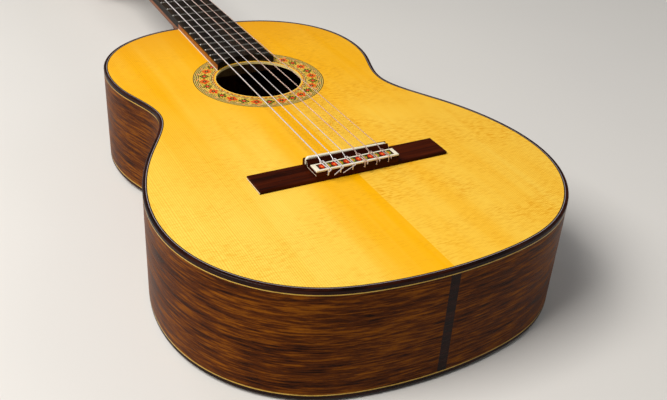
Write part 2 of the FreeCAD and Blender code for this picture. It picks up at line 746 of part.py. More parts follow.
def make_bridge():
    """Low wings, the block that holds the saddle, and the block that the strings are tied to."""
    wings = box(-BRIDGE_HALF, BRIDGE_HALF, BRIDGE_BACK_Y, BRIDGE_FRONT_Y, 0, WING_HEIGHT)
    wings = wings.makeChamfer(WING_CHAMFER, edges_at(wings, z=WING_HEIGHT))
    section = [
        V(-BLOCK_HALF, SADDLE_BLOCK_FRONT_Y, 0),
        V(-BLOCK_HALF, SADDLE_BLOCK_FRONT_Y, SADDLE_BLOCK_HEIGHT),
        V(-BLOCK_HALF, SADDLE_BLOCK_TOP_Y, SADDLE_BLOCK_HEIGHT),
        V(-BLOCK_HALF, SADDLE_BLOCK_BACK_Y, CHEEK_HEIGHT),
        V(-BLOCK_HALF, SADDLE_BLOCK_BACK_Y, 0),
    ]
    saddle_block = polygon_prism(section, V(2 * BLOCK_HALF, 0, 0))
    front_rim = edges_at(saddle_block, y=SADDLE_BLOCK_FRONT_Y, z=SADDLE_BLOCK_HEIGHT)
    saddle_block = saddle_block.makeFillet(SADDLE_BLOCK_ROUND, front_rim)
    tie_block = box(-BLOCK_HALF, BLOCK_HALF, TIE_BACK_Y, TIE_FRONT_Y, 0, TIE_HEIGHT)
    cheek = box(BLOCK_HALF - CHEEK_WIDTH, BLOCK_HALF, TIE_FRONT_Y, SADDLE_BLOCK_BACK_Y, 0, CHEEK_HEIGHT)
    bridge = wings.fuse(saddle_block).fuse(tie_block).fuse(cheek).fuse(mirrored(cheek))
    slot_y0, slot_y1 = SADDLE_Y - SADDLE_THICKNESS / 2, SADDLE_Y + SADDLE_THICKNESS / 2
    bridge = bridge.cut(box(-BLOCK_HALF, BLOCK_HALF, slot_y0, slot_y1, SADDLE_SEAT, BIG))
    for index in range(len(STRINGS)):
        start = V(saddle_x(index), TIE_FRONT_Y + 1, TIE_HOLE_Z)
        end = V(saddle_x(index), TIE_BACK_Y - 1, TIE_HOLE_Z)
        bridge = bridge.cut(cylinder(TIE_HOLE_RADIUS, start, end))
    save("bridge", bridge.removeSplitter())


def make_tie_block_top():
    """The bone frame on the tie block and the mosaic strip inside it."""
    top = TIE_HEIGHT + TIE_FRAME_HEIGHT
    plate = box(-BLOCK_HALF, BLOCK_HALF, TIE_BACK_Y, TIE_FRONT_Y, TIE_HEIGHT, top)
    window = box(
        -BLOCK_HALF + TIE_FRAME_END,
        BLOCK_HALF - TIE_FRAME_END,
        TIE_BACK_Y + TIE_FRAME_EDGE,
        TIE_FRONT_Y - TIE_FRAME_EDGE,
        TIE_HEIGHT,
        top,
    )
    frame = plate.cut(window)
    rim = [edge for edge in edges_at(frame, z=top) if on_outside(edge)]
    save("tie_block_bone_frame", frame.makeFillet(TIE_FRAME_ROUND, rim))
    save("tie_block_mosaic", window.common(box(-BIG, BIG, -BIG, 0, 0, top - MOSAIC_RECESS)))


def on_outside(edge):
    middle = edge.CenterOfMass
    at_end = abs(abs(middle.x) - BLOCK_HALF) < 0.01
    at_side = min(abs(middle.y - TIE_BACK_Y), abs(middle.y - TIE_FRONT_Y)) < 0.01
    return at_end or at_side


def saddle_top(x):
    """Height of the saddle's crest, which falls in a straight line from the bass end."""
    bass, treble = SADDLE_TOPS
    return bass + (treble - bass) * (x + BLOCK_HALF) / (2 * BLOCK_HALF)


def make_saddle():
    """The saddle, with rounded upper corners and a rounded crest."""
    back_y = SADDLE_Y - SADDLE_THICKNESS / 2
    corners = [
        V(-BLOCK_HALF, back_y, SADDLE_SEAT),
        V(BLOCK_HALF, back_y, SADDLE_SEAT),
        V(BLOCK_HALF, back_y, saddle_top(BLOCK_HALF)),
        V(-BLOCK_HALF, back_y, saddle_top(-BLOCK_HALF)),
    ]
    blank = polygon_prism(corners, V(0, SADDLE_THICKNESS, 0))
    upper = [edge for edge in edges_at(blank, y=SADDLE_Y) if edge.CenterOfMass.z > SADDLE_SEAT + 1]
    blank = blank.makeFillet(SADDLE_CORNER, upper)
    crest = [edge for edge in blank.Edges if edge.Length > BLOCK_HALF and on_crest(edge)]
    save("saddle", blank.makeFillet(SADDLE_CREST, crest))


def on_crest(edge):
    return edge.CenterOfMass.z > min(SADDLE_TOPS)


# Tuning machines ---------------------------------------------------------------


def make_plate():
    """One side plate with the two bearing lugs of each worm."""
    low, high = PLATE_U
    x0, x1 = HEAD_HALF, HEAD_HALF + PLATE_THICKNESS
    plate = box(x0, x1, low, high, ROLLER_W - PLATE_HALF_WIDTH, ROLLER_W + PLATE_HALF_WIDTH)
    corners = [e for e in plate.Edges if abs(e.Length - PLATE_THICKNESS) < 0.01]
    plate = plate.makeFillet(PLATE_CORNER, corners)
    for u in ROLLER_U:
        worm_u = u - GEAR_PITCH_RADIUS - WORM_PITCH_RADIUS
        offset = WORM_HALF_LENGTH + LUG_GAP
        for low in (ROLLER_W + offset, ROLLER_W - offset - LUG_THICKNESS):
            lug = box(x0, GEAR_X, worm_u - LUG_HALF, worm_u + LUG_HALF, low, low + LUG_THICKNESS)
            crown = Part.makeCylinder(LUG_HALF, LUG_THICKNESS, V(GEAR_X, worm_u, low))
            plate = plate.fuse(lug).fuse(crown)
        under, over = V(GEAR_X, worm_u, ROLLER_W - 15), V(GEAR_X, worm_u, ROLLER_W + 15)
        plate = plate.cut(cylinder(WORM_SHAFT_RADIUS + RUNNING, under, over))
        plate = plate.cut(through_plate(SHAFT_RADIUS + RUNNING, u))
    for u in PLATE_SCREW_U:
        plate = plate.cut(through_plate(SCREW_SHANK, u))
    return plate


def through_plate(radius, u):
    start, end = V(HEAD_HALF - 1, u, ROLLER_W), V(HEAD_HALF + PLATE_THICKNESS + 1, u, ROLLER_W)
    return cylinder(radius, start, end)


def plate_screw(u):
    """Round-headed wood screw with a straight slot."""
    face = HEAD_HALF + PLATE_THICKNESS
    head = Part.makeSphere(SCREW_HEAD, V(face - SCREW_HEAD_SUNK, u, ROLLER_W))
    head = head.common(box(face, face + 5, u - 5, u + 5, ROLLER_W - 5, ROLLER_W + 5))
    tip, top = V(HEAD_HALF - SCREW_LENGTH, u, ROLLER_W), V(face + 0.1, u, ROLLER_W)
    return head.fuse(cylinder(SCREW_SHANK, tip, top)).cut(screw_slot(face + SCREW_SLOT, u))


def screw_slot(x, u):
    """A straight driver slot that starts at x and runs outwards."""
    half = SCREW_SLOT / 2
    return box(x, x + 5, u - 5, u + 5, ROLLER_W - half, ROLLER_W + half)


def make_roller(u):
    """String roller: a barrel on a stepped shaft that carries the gear."""
    barrel_end = HEAD_HALF - ROLLER_CLEARANCE
    gear_low, gear_high = GEAR_X - GEAR_THICKNESS / 2, GEAR_X + GEAR_THICKNESS / 2

    def turned(radius, x0, x1):
        return cylinder(radius, V(x0, u, ROLLER_W), V(x1, u, ROLLER_W))

    barrel = turned(ROLLER_RADIUS, ROLLER_INNER_X, barrel_end)
    neck = turned(SHAFT_RADIUS, barrel_end - 0.1, gear_low)
    seat = turned(GEAR_SEAT_RADIUS, HEAD_HALF, gear_high)
    screw_hole = turned(GEAR_SCREW_SHANK, HEAD_HALF, gear_high + 1)
    return barrel.fuse(neck).fuse(seat).cut(screw_hole)


def gear_screw(u):
    """The screw that holds the gear on the roller's shaft."""
    face = V(GEAR_X + GEAR_THICKNESS / 2, u, ROLLER_W)
    head = cylinder(GEAR_SCREW_HEAD, face, face + X_AXIS * GEAR_SCREW_HEAD_HEIGHT)
    tip = face - X_AXIS * GEAR_SCREW_LENGTH
    shank = cylinder(GEAR_SCREW_SHANK, tip, face + X_AXIS * 0.1)
    return head.fuse(shank).cut(screw_slot(face.x + SCREW_SLOT, u))


def make_gear():
    """Worm wheel about the X axis at the origin, with slanted teeth, one of them towards -Y."""
    half = GEAR_THICKNESS / 2
    gear = cylinder(GEAR_OUTER, V(-half, 0, 0), V(half, 0, 0))
    slant = WORM_PITCH / (2 * math.pi * WORM_PITCH_RADIUS)
    gaps = []
    for k in range(GEAR_TEETH):
        angle = math.pi + 2 * math.pi * (k + 0.5) / GEAR_TEETH
        radial = V(0, math.cos(angle), math.sin(angle))
        tangent = V(0, -math.sin(angle), math.cos(angle))
        along = X_AXIS + tangent * slant
        low, high = GEAR_ROOT, GEAR_OUTER + 0.5
        half_low = TOOTH_GAP_HALF + (low - GEAR_PITCH_RADIUS) * FLANK
        half_high = TOOTH_GAP_HALF + (high - GEAR_PITCH_RADIUS) * FLANK
        start = along * -(half + 0.5)
        corners = [
            start + radial * low - tangent * half_low,
            start + radial * low + tangent * half_low,
            start + radial * high + tangent * half_high,
            start + radial * high - tangent * half_high,
        ]
        gaps.append(polygon_prism(corners, along * (GEAR_THICKNESS + 1)))
    gear = gear.cut(Part.makeCompound(gaps))
    return gear.cut(cylinder(GEAR_SEAT_RADIUS, V(-5, 0, 0), V(5, 0, 0)))


def make_worm():
    """Right-hand worm and shaft about the Z axis, with a thread gap facing +Y at mid-length."""
    helix = Part.makeHelix(WORM_PITCH, WORM_PITCH * WORM_TURNS, WORM_PITCH_RADIUS)
    root, tip = WORM_ROOT - THREAD_SUNK, WORM_OUTER
    half_root = THREAD_HALF + (WORM_PITCH_RADIUS - root) * FLANK
    half_tip = THREAD_HALF - (tip - WORM_PITCH_RADIUS) * FLANK
    corners = [(root, -half_root), (tip, -half_tip), (tip, half_tip), (root, half_root)]
    profile = Part.makePolygon([V(x, 0, z) for x, z in corners + corners[:1]])
    thread = Part.Wire(helix).makePipeShell([profile], True, True)
    thread.translate(V(0, 0, -WORM_PITCH * WORM_TURNS / 2))
    core = Part.makeCylinder(WORM_ROOT, 2 * WORM_HALF_LENGTH, V(0, 0, -WORM_HALF_LENGTH))
    worm = core.fuse(thread)
    top = WORM_HALF_LENGTH + LUG_GAP + LUG_THICKNESS + SHAFT_TOP
    low = BUTTON_TOP_W - ROLLER_W - BUTTON_BORE
    worm = worm.fuse(Part.makeCylinder(WORM_SHAFT_RADIUS, top - low, V(0, 0, low)))
    worm.rotate(V(0, 0, 0), Z_AXIS, 270 - 180 * WORM_TURNS)
    return worm


def make_button():
    """Oval tuning button below the head, about the worm's axis, bored for its shaft."""
    width_x, width_u, length = BUTTON_SIZE
    top = BUTTON_TOP_W - ROLLER_W
    scale = FreeCAD.Matrix()
    scale.scale(V(width_x / 2, width_u / 2, length / 2))
    bulb = Part.makeSphere(1.0).transformGeometry(scale)
    bulb.translate(V(0, 0, top - length / 2 - BUTTON_DROP))
    low_radius, high_radius, collar_height = COLLAR
    collar = Part.makeCone(low_radius, high_radius, collar_height, V(0, 0, top - collar_height))
    bore = Part.makeCylinder(WORM_SHAFT_RADIUS, BUTTON_BORE, V(0, 0, top - BUTTON_BORE))
    return bulb.fuse(collar).cut(bore)


def winding(x, u, diameter):
    """The turns of string on a roller, side by side, as closed rings."""
    rings = []
    for turn in range(WINDING_TURNS):
        offset = math.copysign(turn * (diameter + WINDING_GAP), -x)
        centre = V(x + offset, u, ROLLER_W)
        radius = ROLLER_RADIUS + diameter / 2 + STRING_CLEARANCE
        rings.append(Part.makeTorus(radius, diameter / 2, centre, X_AXIS))
    return rings


def make_machines():
    plate, gear, worm, button = make_plate(), make_gear(), make_worm(), make_button()
    save("tuner_plate_treble", in_head(plate))
    save("tuner_plate_bass", in_head(mirrored(plate)))
    screws = [plate_screw(u) for u in PLATE_SCREW_U]
    screws += [mirrored(screw) for screw in screws]
    save("tuner_plate_screws", *[in_head(screw) for screw in screws])
    for name, diameter, row, x in STRINGS:
        number = name.split("_")[1]
        side = 1 if x > 0 else -1
        u = ROLLER_U[row]
        roller, screw = make_roller(u), gear_screw(u)
        if side < 0:
            roller, screw = mirrored(roller), mirrored(screw)
        turns = [in_head(ring) for ring in winding(x, u, diameter)]
        save(f"string_roller_{number}", in_head(roller), *turns)
        gear_at = V(side * GEAR_X, u, ROLLER_W)
        save(f"gear_{number}", in_head(moved(gear, gear_at)), in_head(screw))
        worm_at = V(side * GEAR_X, u - GEAR_PITCH_RADIUS - WORM_PITCH_RADIUS, ROLLER_W)
        save(f"worm_{number}", in_head(moved(worm, worm_at)))
        save(f"button_{number}", in_head(moved(button, worm_at)))


# Strings -----------------------------------------------------------------------


def rounded_path(points, radii):
    """Straight runs joined by tangent arcs: radii holds one radius for each inner point."""
    edges = []
    last = points[0]
    corners = zip(points[:-2], points[1:-1], points[2:], radii, strict=True)
    for before, corner, after, radius in corners:
        to_back = (before - corner).normalize()
        to_front = (after - corner).normalize()
        half_angle = to_back.getAngle(to_front) / 2
        reach = radius / math.tan(half_angle)
        start, end = corner + to_back * reach, corner + to_front * reach
        inward = (to_back + to_front).normalize()
        middle = corner + inward * (radius / math.sin(half_angle) - radius)
        edges.append(Part.makeLine(last, start))
        edges.append(Part.Arc(start, middle, end).toShape())
        last = end
    edges.append(Part.makeLine(last, points[-1]))
    return Part.Wire(edges)


def corner_over(centre, radius, before, after):
    """The corner of a string's path that makes its rounding run about the given centre."""
    corner = centre + Z_AXIS * radius
    for _ in range(4):
        to_back = (before - corner).normalize()
        to_front = (after - corner).normalize()
        half_angle = to_back.getAngle(to_front) / 2
        corner = centre - (to_back + to_front).normalize() * (radius / math.sin(half_angle))
    return corner


def tangent_on_roller(start, x, row, diameter):
    """Where a straight string from start stops just clear of its roller, in the head's frame."""
    radius = ROLLER_RADIUS + diameter / 2
    du, dw = ROLLER_U[row] - start.y, ROLLER_W - start.z
    distance = math.hypot(du, dw)
    bearing = math.atan2(dw, du) + math.asin(radius / distance)
    run = math.sqrt(distance**2 - radius**2)
    clear = math.sqrt((radius + diameter + TURNS_GAP) ** 2 - radius**2)
    reach = run - clear
    end_u, end_w = start.y + math.cos(bearing) * reach, start.z + math.sin(bearing) * reach
    return V(start.x + (x - start.x) * reach / run, end_u, end_w)


def tie_points(index):
    """The tied end: the tail, the loop round the tie block, the hole, and up in front of the loop."""
    diameter = STRINGS[index][1]
    radius = diameter / 2
    x = saddle_x(index)
    top = TIE_HEIGHT + TIE_FRAME_HEIGHT + radius + STRING_CLEARANCE
    aside = TIE_ASIDE + radius
    front_y = TIE_FRONT_Y + TIE_CLEAR_FRONT + radius
    back_y = TIE_BACK_Y - TIE_CLEAR_BACK - radius
    rising_y = front_y + diameter + TIE_CLEAR_LOOP
    leave = V(x + aside * 0.8, back_y - 2 * TIE_BEND, top)
    return [
        leave + V(*TAILS[index]),
        leave,
        V(x + aside, front_y, top),
        V(x - aside, front_y, top),
        V(x, back_y, top),
        V(x, back_y, TIE_HOLE_Z),
        V(x, rising_y, TIE_HOLE_Z),
        V(x, rising_y, top - KNOT_DROP),
    ]


def make_string(index):
    """One string in its whole run: tie, hole, saddle, nut, and down to its roller."""
    name, diameter, row, roller_x = STRINGS[index]
    radius = diameter / 2
    x = saddle_x(index)
    tie = tie_points(index)
    over_nut = V(nut_x(index), SCALE / 2 + NUT_FLAT, NUT_CREST + STRING_CLEARANCE)
    crest = in_neck(Part.Vertex(over_nut)).Point
    end = tangent_on_roller(into_head(over_nut), roller_x, row, diameter)
    crest_half = SADDLE_THICKNESS / 2
    bend = crest_half + SADDLE_LIFT + radius
    over_saddle = corner_over(V(x, SADDLE_Y, saddle_top(x) - crest_half), bend, tie[-1], crest)
    points = tie + [over_saddle, crest, head_point(end.x, end.y, end.z)]
    radii = [TIE_BEND] * 3 + [BACK_BEND] * 2 + [TIE_BEND, KNOT_BEND, bend, CREST_BEND]
    path = rounded_path(points, radii)
    first = path.Edges[0]
    profile = Part.makeCircle(radius, points[0], first.tangentAt(first.FirstParameter))
    save(name, path.makePipeShell([Part.Wire([profile])], True, False))


SPACE = block_space()


def main():
    make_soundboard()
    make_edges()
    make_ribs()
    make_back()
    make_blocks_and_linings()
    make_top_braces()
    make_back_braces()
    make_neck()
    make_heel_cap()
    make_fingerboard()
    make_frets()
    make_nut()
    make_bridge()
    make_tie_block_top()
    make_saddle()
    make_machines()
    for index in range(len(STRINGS)):
        make_string(index)


main()
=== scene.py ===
import bpy
import bmesh
import json
import math
from mathutils import Matrix, Vector


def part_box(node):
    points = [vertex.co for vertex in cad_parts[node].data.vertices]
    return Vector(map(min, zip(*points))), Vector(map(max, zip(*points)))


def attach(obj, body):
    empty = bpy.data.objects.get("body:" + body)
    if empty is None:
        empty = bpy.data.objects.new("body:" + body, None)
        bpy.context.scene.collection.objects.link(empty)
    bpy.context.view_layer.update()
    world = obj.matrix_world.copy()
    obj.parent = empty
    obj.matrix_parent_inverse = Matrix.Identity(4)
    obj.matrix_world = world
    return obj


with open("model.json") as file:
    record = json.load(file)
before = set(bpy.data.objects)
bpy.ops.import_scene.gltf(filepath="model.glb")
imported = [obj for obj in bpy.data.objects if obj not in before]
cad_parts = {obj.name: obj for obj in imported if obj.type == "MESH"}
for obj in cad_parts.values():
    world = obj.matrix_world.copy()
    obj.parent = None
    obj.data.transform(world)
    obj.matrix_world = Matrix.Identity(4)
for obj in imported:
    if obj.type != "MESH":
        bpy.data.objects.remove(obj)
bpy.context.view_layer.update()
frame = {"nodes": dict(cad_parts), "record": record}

MM = 0.001

TOP_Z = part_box("top_binding")[1][2]
TAIL_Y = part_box("top_binding")[0][1]
JOINT_Y = TAIL_Y + 485.8 * MM  # where the neck meets the body
HOLE = Vector((0, JOINT_Y - 149.2 * MM, TOP_Z))  # the soundhole's middle
SLAB = 2.4 * MM  # just under the thickness of the soundboard
INLAY_LIFT = 0.03 * MM  # inlay tiles lie this far above the wood
PROUD = 0.06  # strips on the bridge and by the fingerboard stand this many mm off the wood


# Node helpers -------------------------------------------------------------------------------------


class Nodes:
    """A material's node tree with short ways to add and join nodes."""

    def __init__(self, name):
        self.material = bpy.data.materials.new(name)
        self.material.use_nodes = True
        self.tree = self.material.node_tree
        self.shader = self.tree.nodes["Principled BSDF"]
        self.position = self.add("ShaderNodeTexCoord").outputs["Object"]

    def add(self, kind, **settings):
        node = self.tree.nodes.new(kind)
        for key, value in settings.items():
            setattr(node, key, value)
        return node

    def put(self, socket, value):
        if hasattr(value, "is_output"):
            self.tree.links.new(value, socket)
        else:
            socket.default_value = value

    def math(self, operation, a, b=None, c=None, clamp=False):
        node = self.add("ShaderNodeMath", operation=operation, use_clamp=clamp)
        for socket, value in zip(node.inputs, (a, b, c)):
            if value is not None:
                self.put(socket, value)
        return node.outputs[0]

    def axes(self, vector=None):
        node = self.add("ShaderNodeSeparateXYZ")
        self.put(node.inputs[0], vector or self.position)
        return node.outputs

    def stretched(self, scale, vector=None):
        """Coordinates multiplied per axis, so that a noise of scale 1 has that many cells per metre."""
        node = self.add("ShaderNodeMapping", vector_type="POINT")
        self.put(node.inputs["Vector"], vector or self.position)
        node.inputs["Scale"].default_value = scale
        return node.outputs[0]

    def noise(self, scale, detail=3.0, rough=0.55, distort=0.0, vector=None):
        node = self.add("ShaderNodeTexNoise")
        self.put(node.inputs["Vector"], self.stretched(scale, vector))
        node.inputs["Scale"].default_value = 1.0
        node.inputs["Detail"].default_value = detail
        node.inputs["Roughness"].default_value = rough
        node.inputs["Distortion"].default_value = distort
        return node.outputs["Fac"]

    def ramp(self, value, stops):
        node = self.add("ShaderNodeValToRGB")
        node.color_ramp.interpolation = "LINEAR"
        self.put(node.inputs[0], value)
        elements = node.color_ramp.elements
        while len(elements) < len(stops):
            elements.new(0.5)
        for element, (place, colour) in zip(elements, stops):
            element.position = place
            element.color = (*colour, 1.0)
        return node.outputs[0]

    def grey(self, value, low, high, a=0.0, b=1.0):
        """The value taken from the range low..high to a..b, clamped."""
        node = self.add("ShaderNodeMapRange", clamp=True)
        for name, number in (("From Min", low), ("From Max", high), ("To Min", a), ("To Max", b)):
            node.inputs[name].default_value = number
        self.put(node.inputs["Value"], value)
        return node.outputs[0]

    def mix(self, factor, a, b, blend="MIX"):
        node = self.add("ShaderNodeMix", data_type="RGBA", blend_type=blend)
        self.put(node.inputs[0], factor)
        for socket, value in zip((node.inputs[6], node.inputs[7]), (a, b)):
            self.put(socket, (*value, 1.0) if isinstance(value, tuple) else value)
        return node.outputs[2]

    def finish(self, colour, rough, bump=None, depth=0.0001, **constants):
        self.put(self.shader.inputs["Base Color"], colour)
        self.put(self.shader.inputs["Roughness"], rough)
        for name, value in constants.items():
            self.shader.inputs[name.replace("_", " ")].default_value = value
        if bump is not None:
            node = self.add("ShaderNodeBump")
            node.inputs["Strength"].default_value = 1.0
            node.inputs["Distance"].default_value = depth
            self.put(node.inputs["Height"], bump)
            self.put(self.shader.inputs["Normal"], node.outputs[0])
        return self.material


# Materials ----------------------------------------------------------------------------------------


def spruce(name, side):
    """Golden lacquered spruce: grain along Y, closer near the seam, with silky ripples across it, a painted
    sheen, a painted shade toward the neck and a painted highlight on the soundhole's wall.
    """
    n = Nodes(name)
    x, y, z = n.axes()
    across = n.math("ABSOLUTE", x)
    wander = n.noise((3.0, 5.0, 3.0), 2.0, 0.5)
    bent = n.math("MULTIPLY_ADD", wander, 0.006, across)
    spread = n.math("POWER", bent, 0.82)
    uneven = n.noise((120.0, 1.6, 120.0), 2.0, 0.6)
    phase = n.math("MULTIPLY_ADD", uneven, 11.0, n.math("MULTIPLY", spread, 3100.0))
    wave = n.math("SINE", phase)
    line = n.grey(wave, 0.35, 1.0)
    ripple = n.noise((130.0, 820.0, 130.0), 3.0, 0.6)
    patch = n.noise((11.0, 17.0, 11.0), 3.0, 0.55)
    silk = n.math("MULTIPLY", n.grey(ripple, 0.46, 0.64), n.grey(patch, 0.34, 0.60))
    broad = n.noise((42.0, 1.6, 42.0), 3.0, 0.6)
    # Painted sheen: the pale tone stands for the lacquer's sheen and is strongest on the bass side away from
    # the seam and on the lower bout. The deep tone is the spruce's own colour, varied at random by broad
    # patches.
    pale, deep = (0.92, 0.64, 0.095), (0.92, 0.45, 0.001)
    if side < 0:
        sheen_fade = n.grey(across, 0.004, 0.085, 1.05, 0.02)
    else:
        sheen_fade = n.grey(across, 0.004, 0.15, 0.52, 0.40)
    sheen_fade = n.math("MAXIMUM", sheen_fade, n.grey(y, JOINT_Y - 0.40, JOINT_Y - 0.15, 0.0, 0.92))
    sheen_fade = n.math("ADD", sheen_fade, n.grey(broad, 0.35, 0.7, -0.18, 0.18), clamp=True)
    base = n.mix(sheen_fade, pale, deep)
    # Painted shade: the top darkens over its last 90 mm toward the neck joint.
    shade_near_neck = n.grey(y, JOINT_Y - 0.09, JOINT_Y, 0.0, 0.55)
    base = n.mix(shade_near_neck, base, (0.70, 0.27, 0.004))
    base = n.mix(n.math("MULTIPLY", silk, 0.95 if side > 0 else 0.50), base, (0.74, 0.33, 0.006))
    strength = n.math("MULTIPLY", n.grey(across, 0.0, 0.12, 0.22, 0.78), n.grey(broad, 0.3, 0.7, 0.5, 1.0))
    base = n.mix(n.math("MULTIPLY", line, strength), base, (0.66, 0.28, 0.006))
    # Painted highlight: the soundhole's wall is coloured pale yellow all round, standing in for the key light
    # on it.
    to_hole = n.add("ShaderNodeVectorMath", operation="DISTANCE")
    n.put(to_hole.inputs[0], n.position)
    to_hole.inputs[1].default_value = HOLE - Vector((0, 0, 1.2 * MM))
    rim_highlight = n.grey(to_hole.outputs["Value"], 41.25 * MM, 41.6 * MM, 1.0, 0.0)
    base = n.mix(rim_highlight, base, (0.95, 0.76, 0.30))
    inside = n.grey(z, TOP_Z - SLAB, TOP_Z - SLAB + 0.1 * MM)
    bare = n.mix(n.math("MULTIPLY", line, 0.35), (0.34, 0.21, 0.085), (0.26, 0.14, 0.05))
    colour = n.mix(inside, bare, base)
    relief = n.math("ADD", n.math("MULTIPLY", line, 0.5), n.math("MULTIPLY", ripple, 0.4))
    rough = n.grey(patch, 0.3, 0.7, 0.34, 0.46)
    gloss = {"Coat_Weight": 0.07, "Coat_Roughness": 0.18, "Specular_IOR_Level": 0.10}
    return n.finish(colour, rough, relief, 0.00003, **gloss)


def figured_wood(name, grain, tones, rough=(0.34, 0.50), coat=0.0, shine=0.05, fine=0.5):
    """Streaked wood. grain is its stretch per axis: small numbers along the grain, large across it.

    tones are its dark, middle and light colours; fine is the share of narrow streaks against broad bands.
    """
    n = Nodes(name)
    dark, mid, light = tones
    gx, gy, gz = grain
    bands = n.noise((gx, gy, gz), 4.0, 0.62, 0.35)
    streaks = n.noise((gx * 4.2, gy * 3.0, gz * 4.2), 5.0, 0.68)
    pores = n.noise((gx * 9.0, gy * 9.0, gz * 16.0), 2.0, 0.7)
    tone = n.math("MULTIPLY_ADD", streaks, fine, n.math("MULTIPLY", bands, 1.04 - fine))
    colour = n.ramp(tone, [(0.40, dark), (0.52, mid), (0.65, light)])
    pore = n.grey(pores, 0.60, 0.70)
    colour = n.mix(n.math("MULTIPLY", pore, 0.6), colour, dark)
    relief = n.math("SUBTRACT", n.math("MULTIPLY", streaks, 0.4), pore)
    roughness = n.grey(streaks, 0.35, 0.65, rough[0], rough[1])
    gloss = {"Coat_Weight": coat, "Coat_Roughness": 0.12, "Specular_IOR_Level": shine}
    return n.finish(colour, roughness, relief, 0.00006, **gloss)


def speckled(name, a, b, scale, rough, depth=0.00002, **constants):
    """A nearly even material with soft patches of a second tone and a fine grain."""
    n = Nodes(name)
    patch = n.noise((scale, scale, scale), 4.0, 0.6)
    fine = n.noise((scale * 14.0,) * 3, 3.0, 0.6)
    colour = n.mix(n.grey(patch, 0.35, 0.68), a, b)
    roughness = n.grey(fine, 0.3, 0.7, rough[0], rough[1])
    return n.finish(colour, roughness, fine, depth, **constants)


def brushed(name, a, b, scale, rough, depth=0.00001, **constants):
    """Metal with fine marks stretched along one axis."""
    n = Nodes(name)
    marks = n.noise(scale, 4.0, 0.65)
    cloud = n.noise((60.0, 60.0, 60.0), 3.0, 0.55)
    colour = n.mix(n.grey(cloud, 0.3, 0.7), a, b)
    roughness = n.grey(marks, 0.3, 0.7, rough[0], rough[1])
    return n.finish(colour, roughness, marks, depth, Metallic=1.0, **constants)


WIRE_PITCH = 0.28 * MM


def wound(name):
    """Silver-plated wire wound round a nylon core: fine ridges along the string, with painted shade in the
    grooves between turns.
    """
    n = Nodes(name)
    x, y, z = n.axes()
    turns_and_groove_shade = n.math("SINE", n.math("MULTIPLY", y, 2 * math.pi / WIRE_PITCH))
    cloud = n.noise((200.0, 60.0, 200.0), 2.0, 0.5)
    # Painted shade: the colour darkens in the grooves between turns.
    colour = n.mix(n.grey(turns_and_groove_shade, -1.0, 1.0, 0.0, 1.0), (0.62, 0.57, 0.58), (0.86, 0.81, 0.82))
    rough = n.grey(cloud, 0.3, 0.7, 0.26, 0.40)
    return n.finish(colour, rough, turns_and_groove_shade, 0.000006, Metallic=0.45)


def nylon(name):
    """Clear nylon, a little pink."""
    n = Nodes(name)
    cloud = n.noise((900.0, 40.0, 900.0), 3.0, 0.6)
    colour = n.mix(n.grey(cloud, 0.3, 0.7), (0.84, 0.64, 0.56), (0.74, 0.54, 0.47))
    rough = n.grey(cloud, 0.3, 0.7, 0.16, 0.26)
    return n.finish(colour, rough, cloud, 0.00001, Transmission_Weight=0.60, IOR=1.45)


def pearl(name):
    """Swirled imitation pearl."""
    n = Nodes(name)
    swirl = n.noise((150.0, 150.0, 210.0), 4.0, 0.6, 2.2)
    tones = [(0.32, (0.86, 0.80, 0.66)), (0.5, (0.80, 0.74, 0.62)), (0.68, (0.93, 0.90, 0.82))]
    colour = n.ramp(swirl, tones)
    rough = n.grey(swirl, 0.3, 0.7, 0.12, 0.22)
    return n.finish(colour, rough, swirl, 0.00002, Coat_Weight=0.6, Coat_Roughness=0.05)


ROSEWOOD = ((0.012, 0.002, 0.0003), (0.095, 0.021, 0.0008), (0.27, 0.080, 0.002))
BINDING_WOOD = ((0.004, 0.0012, 0.0008), (0.014, 0.003, 0.0015), (0.040, 0.008, 0.003))
BRIDGE_WOOD = ((0.014, 0.002, 0.0005), (0.040, 0.005, 0.0008), (0.075, 0.011, 0.0015))
MAPLE = ((0.46, 0.26, 0.030), (0.60, 0.36, 0.045), (0.68, 0.44, 0.075))
CEDAR = ((0.10, 0.028, 0.010), (0.19, 0.060, 0.020), (0.28, 0.100, 0.036))
BARE_SOFTWOOD = ((0.20, 0.11, 0.040), (0.28, 0.17, 0.070), (0.36, 0.23, 0.10))
EBONY = ((0.003, 0.002, 0.002), (0.010, 0.007, 0.005), (0.030, 0.018, 0.010))
PURFLING = ((0.006, 0.004, 0.004), (0.012, 0.008, 0.007), (0.03, 0.02, 0.015))
MOSAIC_GROUND = ((0.02, 0.008, 0.005), (0.05, 0.02, 0.01), (0.10, 0.04, 0.02))
ROSETTE_GROUND = ((0.50, 0.30, 0.025), (0.68, 0.45, 0.060), (0.80, 0.58, 0.11))
ALONG_Y = (160, 5.0, 160)
SATIN = (0.42, 0.56)
BONE = ((0.90, 0.86, 0.72), (0.82, 0.75, 0.56))
GILT = ((0.86, 0.62, 0.24), (0.78, 0.54, 0.20))
SCREW_GILT = ((0.84, 0.62, 0.28), (0.74, 0.52, 0.22))
BRASS = ((0.80, 0.58, 0.25), (0.70, 0.48, 0.19))
STEEL = ((0.62, 0.61, 0.60), (0.50, 0.49, 0.48))
NICKEL = ((0.62, 0.59, 0.54), (0.50, 0.48, 0.43))
ROLLER = ((0.86, 0.84, 0.77), (0.79, 0.76, 0.68))

